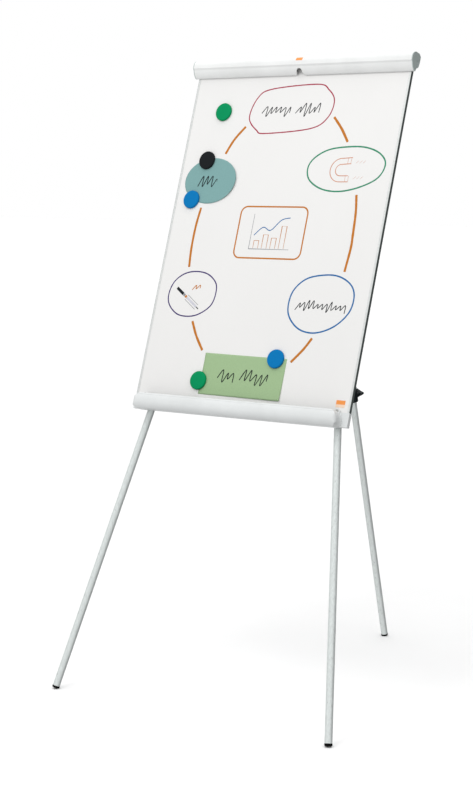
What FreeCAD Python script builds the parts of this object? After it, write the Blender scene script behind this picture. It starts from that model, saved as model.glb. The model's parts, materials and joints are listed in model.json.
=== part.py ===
import FreeCAD, Part
import math
import os
import types
import Sketcher
from FreeCAD import Placement, Rotation, Vector

# Flipchart easel, millimetres, +Z up, origin on the floor at the middle of its three feet.
# The panel leans back about X. BOARD is its frame: x to the right, y the depth behind the
# front face, z the distance up the face from the floor. LEG and REAR are the frames of the
# right front leg and the rear leg, with z up the leg's axis from the floor.

SIZES = {
    # panel
    "board_width": 700.0, "board_height": 1000.0, "board_thick": 9.6, "board_low": 814.0,
    "board_floor_line": 542.5, "lean": 18.8,
    "lip_width": 6.5, "lip_thick": 0.6, "frame_wall": 2.0, "sheet_thick": 0.5, "backing_thick": 0.5,
    # clamp and its rail
    "clamp_length": 716.0, "cap_thick": 2.5, "pivot_depth": 4.0, "pivot_high": 1823.0,
    "rod_radius": 2.5, "rod_length": 714.0, "knuckle_radius": 5.0, "running_fit": 0.05,
    "cap_round": 10.8, "cap_clear": 0.3, "web_front": -1.0, "web_lift": 3.0,
    "web_thick": 5.6, "rail_web": 8.0, "bite": 1.0, "cap_slot_low": 1809.8, "cap_slot_high": 1.4,
    "rail_length": 715.0, "rail_thick": 2.5, "flange_thick": 2.0, "flange_gap": 3.0,
    "flange_low": 1796.0, "track_low": 1803.0, "recess_half": 38.0, "recess_low": 1790.0,
    "notch_radius": 9.5, "notch_high": 1787.5, "notch_flare": 18.0,
    "wire_radius": 0.6, "coil_radius": 3.9, "coil_pitch": 2.5, "coil_length": 20.0,
    "spring_near": 270.0,
    # pad hooks
    "hook_width": 16.0, "hook_spread": 140.0, "peg_radius": 3.0, "peg_high": 1807.0,
    # magnets and papers
    "magnet_radius": 26.4, "magnet_thick": 7.2, "magnet_edge": 2.6,
    "magnet_sink": 0.15, "paper_thick": 0.3, "paper_gap": 0.02,
    "card_width": 268.0, "card_height": 116.0, "card_x": -6.0, "card_high": 924.0, "card_tilt": 0.4,
    "oval_half_width": 88.0, "oval_half_height": 67.0, "oval_x": -239.5, "oval_high": 1477.0,
    # pen tray
    "tray_length": 600.0, "tray_low": 808.5, "tray_rim": 852.5, "tray_depth": 37.5, "tray_wall": 2.0,
    "tray_roll": 17.5, "tray_lip": 6.0, "tray_lean": 4.6, "tray_hook": 4.6,
    "end_reach": 33.0, "end_round": 12.0, "end_widest": 826.0, "end_top_in": 21.0, "end_low_in": 11.0,
    "end_over": 4.0, "mouth_sweep": 60.0,
    "tab_from_end": 15.7, "tab_half": 7.0, "tab_high": 858.0, "tab_thick": 6.0,
    "corner_wall": 1.5, "corner_low": 811.5, "corner_high": 850.0, "plate_near": 22.0,
    "tray_screw_high": 853.5,
    "tray_screw_radius": 4.0, "tray_screw_height": 1.6, "cross_width": 0.9, "cross_length": 4.6,
    # telescopic tubes, the same on all three legs
    "inner_radius": 10.0, "inner_bore": 8.8, "outer_radius": 12.5, "outer_bore": 11.0,
    "collar_radius": 15.5, "collar_length": 44.0, "boss_radius": 7.5, "boss_reach": 19.0,
    "stud_radius": 3.0, "stud_gap": 0.3, "stud_length": 14.0, "hub_radius": 8.0, "hub_length": 12.0,
    "knob_reach": 41.0, "knob_depth": 12.0, "lobe_reach": 11.4, "lobe_radius": 3.6, "lobe_waist": 8.4,
    "boss_high": 12.0,
    "foot_radius": 10.4, "foot_edge": 3.0, "foot_height": 6.5, "foot_shank": 20.0, "foot_flat": 0.8,
    "glide_length": 22.0,
    # front legs
    "stance": 450.0, "splay": 9.943, "leg_depth": 26.0, "front_top": 1580.0, "front_inner_top": 1050.0,
    "front_collar_low": 880.0, "saddle_length": 26.0, "saddle_flange": 4.0, "saddle_width": 52.0,
    "rivet_radius": 3.5, "rivet_height": 1.6,
    # rear leg
    "rear_floor": 515.2, "rear_angle": 14.73, "hinge_reach": 1739.8,
    "rear_collar_low": 776.0, "rear_inner_top": 1000.0, "pin_radius": 4.0, "ear_thick": 3.0,
    "ear_gap": 14.0, "ear_radius": 14.0, "plate_thick": 3.0, "plate_width": 72.0, "plate_height": 60.0,
    "head_width": 27.4, "head_half": 12.0, "head_below": 40.0, "head_above": 34.0, "head_shank": 50.0,
    "stop_gap": 0.05, "screw_radius": 4.0, "screw_height": 2.4,
    # plain labels
    "label_width": 27.5, "label_height": 19.0, "label_x": 304.5, "label_low": 863.0,
    "clamp_label_width": 21.0, "clamp_label_gap": 0.05,
}

MAGNETS = {                                  # label: (x, distance up the panel)
    "magnet_green_high": (-238.5, 1680.0),
    "magnet_black": (-263.5, 1537.0),
    "magnet_blue_high": (-291.5, 1421.0),
    "magnet_blue_low": (93.5, 979.0),
    "magnet_green_low": (-146.0, 904.0),
}

doc = FreeCAD.newDocument("flipchart_easel")
nodes = []


def make_sheet():
    """Write the driving dimensions into a spreadsheet, one alias per row."""
    table = doc.addObject("Spreadsheet::Sheet", "Sizes")
    for row, (alias, number) in enumerate(SIZES.items(), start=1):
        table.set("A%d" % row, alias)
        table.set("B%d" % row, str(number))
        table.setAlias("B%d" % row, alias)
    doc.recompute()
    return table


sheet = make_sheet()
v = types.SimpleNamespace(**{alias: float(sheet.get(alias)) for alias in SIZES})

BOARD = Placement(Vector(0, -v.board_floor_line, 0), Rotation(Vector(1, 0, 0), -v.lean))
LEG = BOARD * Placement(Vector(v.stance, v.leg_depth, 0), Rotation(Vector(0, 1, 0), -v.splay))
REAR = Placement(Vector(0, v.rear_floor, 0), Rotation(Vector(1, 0, 0), v.rear_angle))
ALONG_X = Rotation(Vector(0, 1, 0), 90)
ALONG_Y = Rotation(Vector(1, 0, 0), -90)
UPRIGHT = Rotation()


# --- helpers -----------------------------------------------------------------------------

def bind(obj, **sizes):
    """Bind properties to the sheet: words in an expression are the sheet's aliases."""
    for name, text in sizes.items():
        words = [("Sizes." + word if word in SIZES else word) for word in text.split()]
        obj.setExpression(name, " ".join(words))
    return obj


def node(obj, label, frame=None):
    """Give a finished sub-part its label and, if asked, its frame."""
    obj.Label = label
    if frame is not None:
        obj.Placement = frame
    nodes.append(obj)
    return obj


def box(low, length, width, height, frame=Placement()):
    """A Part::Box from its lowest corner, sized by sheet expressions."""
    piece = doc.addObject("Part::Box", "Block")
    bind(piece, Length=length, Width=width, Height=height)
    piece.Placement = frame * Placement(Vector(*low), UPRIGHT)
    return piece


def cylinder(base, radius, height, turn=UPRIGHT, frame=Placement()):
    """A Part::Cylinder standing on base, sized by sheet expressions."""
    piece = doc.addObject("Part::Cylinder", "Round")
    bind(piece, Radius=radius, Height=height)
    piece.Placement = frame * Placement(Vector(*base), turn)
    return piece


def fuse(*pieces):
    joined = doc.addObject("Part::MultiFuse", "Joined")
    joined.Shapes = list(pieces)
    joined.Refine = True
    return joined


def cut(base, *tools):
    """Take one or more tools away from a base."""
    tool = tools[0]
    if len(tools) > 1:
        tool = doc.addObject("Part::Compound", "Tools")
        tool.Links = list(tools)
    left = doc.addObject("Part::Cut", "Cut")
    left.Base = base
    left.Tool = tool
    left.Refine = True
    return left


def group(*pieces):
    together = doc.addObject("Part::Compound", "Group")
    together.Links = list(pieces)
    return together


def mirrored(source, label):
    """The left-hand twin of a right-hand sub-part, across the easel's middle plane."""
    twin = doc.addObject("Part::Mirroring", "Twin")
    twin.Source = source
    twin.Normal = Vector(1, 0, 0)
    twin.Base = Vector(0, 0, 0)
    return node(twin, label)


def pair(piece, name, frame):
    """Place a right-hand sub-part and make its left-hand twin."""
    right = node(piece, name + "_right", frame)
    mirrored(right, name + "_left")
    return right


def origin_plane(body, role):
    for feature in body.Origin.OriginFeatures:
        if feature.Role == role:
            return feature
    raise ValueError(role)


def sketch_on(body, role, corners):
    """A closed sketch: each corner is (x, y), or (x, y, via_x, via_y) where an arc reaches it."""
    sketch = body.newObject("Sketcher::SketchObject", "Outline")
    sketch.AttachmentSupport = (origin_plane(body, role), "")
    sketch.MapMode = "FlatFace"
    start = Vector(corners[-1][0], corners[-1][1], 0)
    for corner in corners:
        end = Vector(corner[0], corner[1], 0)
        if len(corner) == 4:
            edge = Part.Arc(start, Vector(corner[2], corner[3], 0), end)
        else:
            edge = Part.LineSegment(start, end)
        sketch.addGeometry(edge, False)
        start = end
    return sketch


def pad(body, sketch, length, midplane=False):
    feature = body.newObject("PartDesign::Pad", "Pad")
    feature.Profile = sketch
    bind(feature, Length=length)
    if midplane:
        feature.SideType = "Symmetric"
    body.Tip = feature
    return feature


def new_body(name):
    return doc.addObject("PartDesign::Body", name)


def tube(low, high, radius, bore):
    """A round tube along z: a ring revolved from a sketch of its wall."""
    body = new_body("Tube")
    ring = body.newObject("Sketcher::SketchObject", "Ring")
    ring.AttachmentSupport = (origin_plane(body, "XY_Plane"), "")
    ring.MapMode = "FlatFace"
    ring.AttachmentOffset = Placement(Vector(0, 0, low), UPRIGHT)
    for name in (radius, bore):
        index = ring.addGeometry(Part.Circle(Vector(0, 0, 0), Vector(0, 0, 1), getattr(v, name)), False)
        ring.addConstraint(Sketcher.Constraint("Coincident", index, 3, -1, 1))
        number = ring.addConstraint(Sketcher.Constraint("Radius", index, getattr(v, name)))
        ring.setExpression("Constraints[%d]" % number, "Sizes." + name)
    wall = body.newObject("PartDesign::Pad", "Wall")
    wall.Profile = ring
    wall.Length = high - low
    body.Tip = wall
    return body


# --- panel -------------------------------------------------------------------------------

def flat_layer(label, front, thick):
    """One layer of the panel, held in the channel of the edge frame."""
    low = (v.frame_wall - v.board_width / 2, front, v.board_low + v.frame_wall)
    layer = box(low, "board_width - 2 * frame_wall", thick, "board_height - 2 * frame_wall", BOARD)
    return node(layer, label)


def make_panel():
    flat_layer("writing_surface", v.lip_thick, "sheet_thick")
    flat_layer("board_core", v.lip_thick + v.sheet_thick,
               "board_thick - 2 * lip_thick - sheet_thick - backing_thick")
    flat_layer("back_sheet", v.board_thick - v.lip_thick - v.backing_thick, "backing_thick")


def channel(outer, inner, wall):
    """Corners of a channel whose web is at outer and whose lips end at inner."""
    front, back = v.lip_thick, v.board_thick - v.lip_thick
    return [(inner, 0), (outer, 0), (outer, v.board_thick), (inner, v.board_thick),
            (inner, back), (wall, back), (wall, front), (inner, front)]


def make_frame_sides():
    half = v.board_width / 2
    body = new_body("SideFrame")
    corners = channel(half, half - v.lip_width, half - v.frame_wall)
    pad(body, sketch_on(body, "XY_Plane", corners), "board_height")
    pair(body, "frame_side", BOARD * Placement(Vector(0, 0, v.board_low), UPRIGHT))


def make_frame_ends():
    """The top and bottom channels fit between the two side channels."""
    high = v.board_low + v.board_height
    for label, outer, way in (("frame_bottom", v.board_low, 1), ("frame_top", high, -1)):
        corners = channel(outer, outer + way * v.lip_width, outer + way * v.frame_wall)
        body = new_body("EndFrame")
        sketch = sketch_on(body, "YZ_Plane", [(depth, up) for up, depth in corners])
        pad(body, sketch, "board_width - 2 * lip_width", midplane=True)
        node(body, label, BOARD)


def make_papers():
    """A card and an oval paper, each held on the steel face by two magnets."""
    front = v.lip_thick - v.paper_thick - v.paper_gap
    corner = (-v.card_width / 2, 0, -v.card_height / 2)
    place = Placement(Vector(v.card_x, front, v.card_high), Rotation(Vector(0, 1, 0), -v.card_tilt))
    card = box(corner, "card_width", "paper_thick", "card_height", BOARD * place)
    node(card, "green_card")
    oval = doc.addObject("Part::Ellipse", "OvalEdge")
    bind(oval, MajorRadius="oval_half_width", MinorRadius="oval_half_height")
    paper = doc.addObject("Part::Extrusion", "Oval")
    paper.Base = oval
    paper.DirMode = "Custom"
    paper.Dir = Vector(0, 0, 1)
    paper.Solid = True
    bind(paper, LengthFwd="paper_thick")
    middle = Vector(v.oval_x, front + v.paper_thick, v.oval_high)
    node(paper, "teal_paper", BOARD * Placement(middle, Rotation(Vector(1, 0, 0), 90)))


def make_labels():
    corner = (v.label_x, v.lip_thick - v.paper_thick - v.paper_gap, v.label_low)
    node(box(corner, "label_width", "paper_thick", "label_height", BOARD), "board_label")


def make_magnets():
    for label, (x, up) in MAGNETS.items():
        body = new_body("Magnet")
        disc = body.newObject("Sketcher::SketchObject", "Disc")
        disc.AttachmentSupport = (origin_plane(body, "XY_Plane"), "")
        disc.MapMode = "FlatFace"
        disc.addGeometry(Part.Circle(Vector(0, 0, 0), Vector(0, 0, 1), v.magnet_radius), False)
        disc.addConstraint(Sketcher.Constraint("Coincident", 0, 3, -1, 1))
        radius = disc.addConstraint(Sketcher.Constraint("Radius", 0, v.magnet_radius))
        disc.setExpression("Constraints[%d]" % radius, "Sizes.magnet_radius")
        solid = pad(body, disc, "magnet_thick")
        doc.recompute()
        rim = body.newObject("PartDesign::Fillet", "Rim")
        rim.Base = (solid, [edge_at(solid.Shape, v.magnet_thick)])
        bind(rim, Radius="magnet_edge")
        body.Tip = rim
        turn = Rotation(Vector(1, 0, 0), 90)
        node(body, label, BOARD * Placement(Vector(x, v.magnet_sink, up), turn))


def edge_at(shape, height):
    """Name of the round edge that lies flat at the given height."""
    for number, edge in enumerate(shape.Edges, start=1):
        bounds = edge.BoundBox
        if abs(bounds.ZMin - height) < 1e-3 and abs(bounds.ZMax - height) < 1e-3:
            return "Edge%d" % number
    raise ValueError(height)


# --- clamp -------------------------------------------------------------------------------

CLAMP_OUTSIDE = [                            # (depth, distance up), front is negative depth
    (4.5, 1830.4), (-4.0, 1833.0, 1.0, 1832.6), (-25.4, 1811.5, -19.2, 1828.4), (-25.0, 1805.5),
    (-21.0, 1801.4), (-4.8, 1782.0, -14.6, 1790.0), (-0.3, 1782.0)]
CLAMP_INSIDE = [
    (-0.3, 1784.4), (-3.9, 1784.4), (-19.3, 1802.7, -13.0, 1791.6), (-23.1, 1806.4),
    (-23.3, 1811.3), (-4.0, 1830.9, -17.7, 1826.8), (3.6, 1828.6, 0.4, 1830.5)]
CLAMP_KNUCKLES = [(-326, -296), (-60, 60), (296, 326)]
RAIL_KNUCKLES = [(-357.5, -332), (-110, -80), (80, 110), (332, 357.5)]


def on_pivot(radius, degrees):
    """A point (depth, distance up) on a circle round the clamp's pivot, 0 at the back, 90 up."""
    turn = math.radians(degrees)
    return v.pivot_depth + radius * math.cos(turn), v.pivot_high + radius * math.sin(turn)


def barrel(low, high):
    """One hinge knuckle on the clamp's pivot, between two places along x."""
    base = (low, v.pivot_depth, v.pivot_high)
    return cylinder(base, "knuckle_radius", "%g" % (high - low), ALONG_X)


def make_notch():
    """The cutter for the finger notch: a round arch that flares out to the bar's lower edge."""
    radius, high, flare = v.notch_radius, v.notch_high, v.notch_flare
    low = CLAMP_OUTSIDE[-1][1]
    ease = (radius + flare) / 2, (high + low) / 2 - 1
    body = new_body("Notch")
    outline = [(-flare, low - 2), (flare, low - 2), (flare, low), (radius, high, ease[0] - 1, ease[1]),
               (-radius, high, 0, high + radius), (-flare, low, 1 - ease[0], ease[1])]
    pad(body, sketch_on(body, "XZ_Plane", outline), "2 * board_thick + 40", midplane=True)
    return body


def make_clamp_bar():
    """The gripping bar: a rolled front shell, three hinge knuckles and a finger notch."""
    shell = new_body("ClampShell")
    pad(shell, sketch_on(shell, "YZ_Plane", CLAMP_OUTSIDE + CLAMP_INSIDE), "clamp_length", midplane=True)
    pieces = [shell]
    for low, high in CLAMP_KNUCKLES:
        corner = (low, v.web_front, v.pivot_high + v.web_lift)
        web = box(corner, "%g" % (high - low), "pivot_depth - web_front", "web_thick")
        pieces += [barrel(low, high), web]
    bore = cylinder((-v.rod_length / 2, v.pivot_depth, v.pivot_high), "rod_radius + running_fit",
                    "rod_length", ALONG_X)
    node(cut(fuse(*pieces), bore, make_notch()), "clamp_bar", BOARD)


def make_clamp_caps():
    """End caps of the moving bar: its outline, closed round the pivot at the back."""
    cap = new_body("ClampCap")
    bottom, back, top = on_pivot(v.cap_round, -93), on_pivot(v.cap_round, 0), on_pivot(v.cap_round, 93)
    outline = [CLAMP_OUTSIDE[1][:2]] + CLAMP_OUTSIDE[2:]
    outline += [(0.8, 1783.2), (bottom[0] - 0.2, 1790.0), bottom, top + back]
    pad(cap, sketch_on(cap, "YZ_Plane", outline), "cap_thick")
    slot = box((v.cap_thick - v.bite, -2 * v.bite, v.cap_slot_low), "cap_thick", "2 * pivot_depth",
               "cap_slot_high")
    pair(cut(cap, slot), "clamp_cap", BOARD * Placement(Vector(v.clamp_length / 2, 0, 0), UPRIGHT))


def make_clamp_label():
    """A thin film that follows the rolled top of the bar."""
    front = CLAMP_OUTSIDE[2]
    roll = Part.Circle(*[Vector(depth, up, 0) for depth, up in (CLAMP_OUTSIDE[1][:2], front[2:], front[:2])])
    centre, near = roll.Center, roll.Radius + v.clamp_label_gap
    far = near + v.paper_thick
    first, middle, last = [math.radians(angle) for angle in (142, 157, 172)]

    def at(reach, angle):
        return centre.x + reach * math.cos(angle), centre.y + reach * math.sin(angle)

    film = new_body("ClampLabel")
    outline = [at(far, first), at(far, last) + at(far, middle), at(near, last),
               at(near, first) + at(near, middle)]
    pad(film, sketch_on(film, "YZ_Plane", outline), "clamp_label_width", midplane=True)
    node(film, "clamp_label", BOARD)


def make_rail():
    """Fixed rail over the panel's top edge: back flange, web, front track and hinge knuckles."""
    high = v.board_low + v.board_height
    top = high + v.rail_thick
    back = v.board_thick + v.rail_thick
    front = -v.flange_gap - v.flange_thick
    rail = new_body("Rail")
    corners = [(back, v.flange_low), (back, top), (front, top), (front, v.track_low),
               (-v.flange_gap, v.track_low), (-v.flange_gap, high), (v.board_thick, high),
               (v.board_thick, v.flange_low)]
    pad(rail, sketch_on(rail, "YZ_Plane", corners), "rail_length", midplane=True)
    pieces = [rail]
    for near, far in RAIL_KNUCKLES:
        corner = (near, v.pivot_depth - v.rail_web / 2, top - v.bite)
        web = box(corner, "%g" % (far - near), "rail_web",
                  "pivot_high - board_low - board_height - rail_thick + bite")
        pieces += [barrel(near, far), web]
    start = (-v.clamp_length / 2, v.pivot_depth, v.pivot_high)
    bore = cylinder(start, "rod_radius", "clamp_length", ALONG_X)
    recess = box((-v.recess_half, v.board_thick - v.bite, v.recess_low), "2 * recess_half",
                 "2 * rail_thick + bite", "board_low + board_height - recess_low - bite / 2")
    node(cut(fuse(*pieces), bore, recess), "clamp_rail", BOARD)
    start = (-v.rod_length / 2, v.pivot_depth, v.pivot_high)
    node(cylinder(start, "rod_radius", "rod_length", ALONG_X, BOARD), "clamp_hinge_rod")
    rivets = [cylinder((x, back, v.track_low), "rivet_radius", "rivet_height", ALONG_Y)
              for x in (-320, -160, 160, 320)]
    node(group(*rivets), "rail_rivets", BOARD)


def make_rail_caps():
    """End caps of the fixed rail, hollowed round the pivot to clear the moving cap."""
    cap = new_body("RailCap")
    clear = v.cap_round + v.cap_clear
    low, middle, high = on_pivot(clear, -90), on_pivot(clear, -25), on_pivot(clear, 36)
    outline = [high, low + middle, (low[0], 1791.2), (11.9, 1795.8), (13.4, 1799.7), (15.5, 1808.8),
               (16.2, 1826.0), (15.4, 1828.6)]
    pad(cap, sketch_on(cap, "YZ_Plane", outline), "cap_thick + 0.5")
    pair(cap, "rail_cap", BOARD * Placement(Vector(v.rail_length / 2, 0, 0), UPRIGHT))


def make_springs():
    """Each torsion spring is a close coil round the hinge rod."""
    helix = doc.addObject("Part::Helix", "SpringPath")
    bind(helix, Radius="coil_radius", Height="coil_length")
    helix.Pitch = v.coil_pitch
    wire = doc.addObject("Part::Circle", "SpringWire")
    bind(wire, Radius="wire_radius")
    wire.Placement = Placement(Vector(v.coil_radius, 0, 0), Rotation(Vector(1, 0, 0), 90))
    coil = doc.addObject("Part::Sweep", "Coil")
    coil.Sections = [wire]
    coil.Spine = (helix, [])
    coil.Solid = True
    coil.Frenet = True
    pair(coil, "clamp_spring", BOARD * Placement(Vector(v.spring_near, v.pivot_depth, v.pivot_high), ALONG_X))


def make_hooks():
    """A pad hook clips over the rail's front track and carries one peg."""
    body = new_body("Hook")
    gap = 0.25
    front = -v.flange_gap - v.flange_thick - gap
    back = gap - v.flange_gap
    outline = [(front - 2, 1799), (-0.6, 1799), (-0.6, 1811), (back, 1811), (back, 1803 - gap),
               (front, 1803 - gap), (front, 1812), (front - 2, 1812)]
    pad(body, sketch_on(body, "YZ_Plane", outline), "hook_width", midplane=True)
    peg = cylinder((0, front - 1, v.peg_high), "peg_radius", "8", Rotation(Vector(1, 0, 0), 90))
    tip = doc.addObject("Part::Sphere", "Tip")
    bind(tip, Radius="peg_radius")
    tip.Placement = Placement(Vector(0, front - 9, v.peg_high), UPRIGHT)
    pair(fuse(body, peg, tip), "pad_hook", BOARD * Placement(Vector(v.hook_spread, 0, 0), UPRIGHT))


# --- pen tray ----------------------------------------------------------------------------

def tray_outside():
    """Outer side of the trough's wall: flat floor, rolled front, and a rim rolled back over it."""
    reach, rim = v.tray_depth, v.tray_rim
    centre, level = v.tray_roll - reach, v.tray_low + v.tray_roll
    corner = v.tray_roll * 0.5 ** 0.5
    shoulder, hook = v.tray_lean - reach, v.tray_lean + v.tray_hook - reach
    bend = rim - v.tray_lip
    return [(0, v.tray_low), (centre, v.tray_low), (-reach, level, centre - corner, level - corner),
            (shoulder, bend, shoulder - 3.6, (level + bend) / 2),
            (hook, rim, shoulder + 1.4, rim - 1.7)]


def tray_inside():
    """Inner side of the wall, from the rim down to the trough's floor."""
    reach, rim, wall = v.tray_depth, v.tray_rim, v.tray_wall
    centre, level = v.tray_roll - reach, v.tray_low + v.tray_roll
    corner = (v.tray_roll - wall) * 0.5 ** 0.5
    shoulder, hook = v.tray_lean - reach, v.tray_lean + v.tray_hook - reach
    bend = rim - v.tray_lip
    return [(hook, rim - wall), (shoulder + wall, bend, shoulder + wall + 0.6, rim - 3.4),
            (wall - reach, level, shoulder + wall - 3.6, (level + bend) / 2),
            (centre, v.tray_low + wall, centre - corner, level - corner)]


def make_tray():
    body = new_body("Tray")
    wall, floor = v.tray_wall, v.tray_low + v.tray_wall
    corners = tray_outside() + tray_inside() + [(-wall, floor), (-wall, v.tray_rim), (0, v.tray_rim)]
    pad(body, sketch_on(body, "YZ_Plane", corners), "tray_length", midplane=True)
    node(body, "pen_tray", BOARD)


def belly(inset, rise, across, sweep=None):
    """The end and middle of an arc that starts upright where the tray's end is widest.

    The outer arc ends `rise` higher and `across` further in. `inset` is the wall between it and
    this one, and `sweep` ends it at that angle instead.
    """
    radius = (across ** 2 + rise ** 2) / (2 * across)
    whole = sweep or math.asin(abs(rise) / radius)
    size, sign = radius - inset, math.copysign(1, rise)
    points = [(v.end_reach - radius + size * math.cos(angle), v.end_widest + sign * size * math.sin(angle))
              for angle in (whole / 2, whole)]
    return points[1] + points[0]


def end_solid(profile, inset, above):
    """The tray's profile carried outwards, rounded in plan and in elevation."""
    reach, side, turn = v.tray_depth - inset, v.end_reach - inset, v.end_round - inset
    along = new_body("AlongTray")
    pad(along, sketch_on(along, "YZ_Plane", profile), "end_reach")
    plan = new_body("Plan")
    corner = turn * (1 - 0.5 ** 0.5)
    outline = [(-1, 1), (-1, -reach), (side - turn, -reach),
               (side, turn - reach, side - corner, corner - reach), (side, 1)]
    turned = sketch_on(plan, "XY_Plane", outline)
    turned.AttachmentOffset = Placement(Vector(0, 0, v.tray_low - 1), UPRIGHT)
    pad(plan, turned, "tray_rim - tray_low + 2 * end_over")
    sideways = new_body("Elevation")
    upper = belly(inset, v.tray_rim - v.end_widest, v.end_top_in, math.radians(v.mouth_sweep) if inset else 0)
    lower = belly(inset, v.tray_low - v.end_widest, v.end_low_in)
    outline = [(-1, lower[1]), lower[:2], (side, v.end_widest) + lower[2:], upper]
    outline += [(upper[0], v.tray_rim + above), (-1, v.tray_rim + above)] if inset else [(-1, v.tray_rim)]
    pad(sideways, sketch_on(sideways, "XZ_Plane", outline), "3 * tray_depth", midplane=True)
    solid = doc.addObject("Part::MultiCommon", "EndSolid")
    solid.Shapes = [along, plan, sideways]
    return solid


def cross_head(frame):
    """A cross-slotted screw head that stands up the frame's z axis."""
    head = cylinder((0, 0, 0), "tray_screw_radius", "tray_screw_height")
    half, width, level = v.cross_length / 2, v.cross_width / 2, v.tray_screw_height - 0.9
    slots = [box((-half, -width, level), "cross_length", "cross_width", "2"),
             box((-width, -half, level), "cross_width", "cross_length", "2")]
    screw = cut(head, *slots)
    screw.Placement = frame
    return screw


def make_tray_ends():
    """Closed ends whose corners wrap the panel's edge, each with one screw through a tab."""
    low, rim, wall = v.tray_low, v.tray_rim, v.tray_wall
    half, edge = v.tray_length / 2, (v.board_width - v.tray_length) / 2
    outside = end_solid(tray_outside() + [(0, rim)], 0, 0)
    hook, top = tray_inside()[0][0], rim + v.end_over
    inner = [(-wall, low + wall), (-wall, top), (hook, top)] + tray_inside()
    shell = cut(outside, end_solid(inner, wall, v.end_over))
    tab = new_body("Tab")
    near, far, top = v.tab_from_end - v.tab_half, v.tab_from_end + v.tab_half, v.tab_high
    pad(tab, sketch_on(tab, "XZ_Plane", [(near, rim - 8), (far, rim - 8), (far, top - 4),
                                         (near, top - 4, v.tab_from_end, top)]), "tab_thick")
    front = box((v.plate_near, -v.corner_wall, v.corner_low), "( board_width - tray_length ) / 2 "
                "- plate_near + corner_wall", "corner_wall", "corner_high - corner_low")
    side = box((edge, 0, v.corner_low), "corner_wall", "board_thick", "corner_high - corner_low")
    under = box((v.plate_near, 0, v.corner_low), "( board_width - tray_length ) / 2 - plate_near",
                "board_thick", "board_low - corner_low")
    place = BOARD * Placement(Vector(half, 0, 0), UPRIGHT)
    pair(fuse(shell, tab, front, side, under), "tray_end", place)
    seat = Placement(Vector(v.tab_from_end, -v.tab_thick, v.tray_screw_high), Rotation(Vector(1, 0, 0), 90))
    right = cross_head(place * seat)
    twins = doc.addObject("Part::Mirroring", "ScrewTwin")
    twins.Source = right
    twins.Normal = Vector(1, 0, 0)
    node(group(right, twins), "tray_screws")


# --- telescopic legs -----------------------------------------------------------------------

def make_collar(low):
    """A locking collar: a sleeve on the upper tube's end with a boss for the wing screw."""
    sleeve = cylinder((0, 0, low), "collar_radius", "collar_length")
    boss = cylinder((0, 0, low + v.boss_high), "boss_radius", "boss_reach", ALONG_Y)
    lower = cylinder((0, 0, low - 1), "inner_radius + running_fit", "collar_length / 2 + 1")
    upper = cylinder((0, 0, low + v.collar_length / 2), "outer_radius", "collar_length / 2 + 1")
    hole = cylinder((0, 0, low + v.boss_high), "stud_radius + running_fit", "boss_reach + 1", ALONG_Y)
    return cut(fuse(sleeve, boss), lower, upper, hole)


def make_knob():
    """A clamping screw: a stud, a hub and a three-lobed grip round its own axis, along y."""
    stud = cylinder((0, v.inner_radius + v.stud_gap, 0), "stud_radius", "stud_length", ALONG_Y)
    hub = cylinder((0, v.boss_reach + 0.4, 0), "hub_radius", "hub_length", ALONG_Y)
    outline = []
    for lobe in (0, 120, 240):
        for reach, radius, turn in ((v.lobe_reach, v.lobe_radius, -60), (v.lobe_reach, v.lobe_radius, 60)):
            middle, side = math.radians(lobe), math.radians(lobe + turn)
            point = (reach * math.cos(middle) + radius * math.cos(side),
                     reach * math.sin(middle) + radius * math.sin(side))
            bend = math.radians(lobe - 60) if turn < 0 else middle
            depth = v.lobe_waist if turn < 0 else reach + radius
            outline.append(point + (depth * math.cos(bend), depth * math.sin(bend)))
    grip = new_body("Grip")
    pad(grip, sketch_on(grip, "XZ_Plane", outline), "knob_depth")
    grip.Placement = Placement(Vector(0, v.knob_reach, 0), UPRIGHT)
    return fuse(stud, hub, grip)


def make_foot(frame):
    """A plug foot with a rounded edge, worn flat where it meets the floor."""
    axis = frame.Rotation.multVec(Vector(0, 0, 1))
    cosine = axis.z
    sine = (1 - cosine ** 2) ** 0.5
    centre_high = (v.foot_edge - v.foot_flat + (v.foot_radius - v.foot_edge) * sine
                   - v.foot_edge * cosine)
    end = (centre_high - frame.Base.z) / cosine
    body = new_body("Plug")
    edge, radius, top, bore = v.foot_edge, v.foot_radius, v.foot_height, v.inner_bore
    corner = edge * (1 - 0.5 ** 0.5)
    outline = [(0, end), (radius - edge, end), (radius, end + edge, radius - corner, end + corner),
               (radius, end + top), (bore, end + top), (bore, end + top + v.foot_shank),
               (0, end + top + v.foot_shank)]
    profile = sketch_on(body, "XZ_Plane", outline)
    plug = body.newObject("PartDesign::Revolution", "Plug")
    plug.Profile = profile
    plug.ReferenceAxis = (origin_plane(body, "Z_Axis"), "")
    plug.Angle = 360
    body.Tip = plug
    ground = frame.inverse() * Placement(Vector(frame.Base.x, frame.Base.y, 0), UPRIGHT)
    return cut(body, box((-40, -40, -40), "80", "80", "40", ground)), end + top


def make_glide(high):
    """The bush on top of the lower tube that guides it inside the upper one."""
    bush = cylinder((0, 0, high - v.glide_length), "outer_bore - running_fit", "glide_length")
    plug = cylinder((0, 0, high - 1.5 * v.glide_length), "inner_bore", "glide_length")
    return fuse(bush, plug)


def make_front_legs():
    low = v.front_collar_low
    joint = low + v.collar_length / 2
    pair(tube(joint, v.front_top, "outer_radius", "outer_bore"), "front_tube_upper", LEG)
    pair(make_collar(low), "front_collar", LEG)
    pair(make_knob(), "front_knob", LEG * Placement(Vector(0, 0, low + v.boss_high), UPRIGHT))
    foot, tube_low = make_foot(LEG)
    pair(foot, "front_foot", LEG)
    pair(tube(tube_low, v.front_inner_top - v.glide_length, "inner_radius", "inner_bore"),
         "front_tube_lower", LEG)
    pair(make_glide(v.front_inner_top), "front_glide", LEG)


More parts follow.
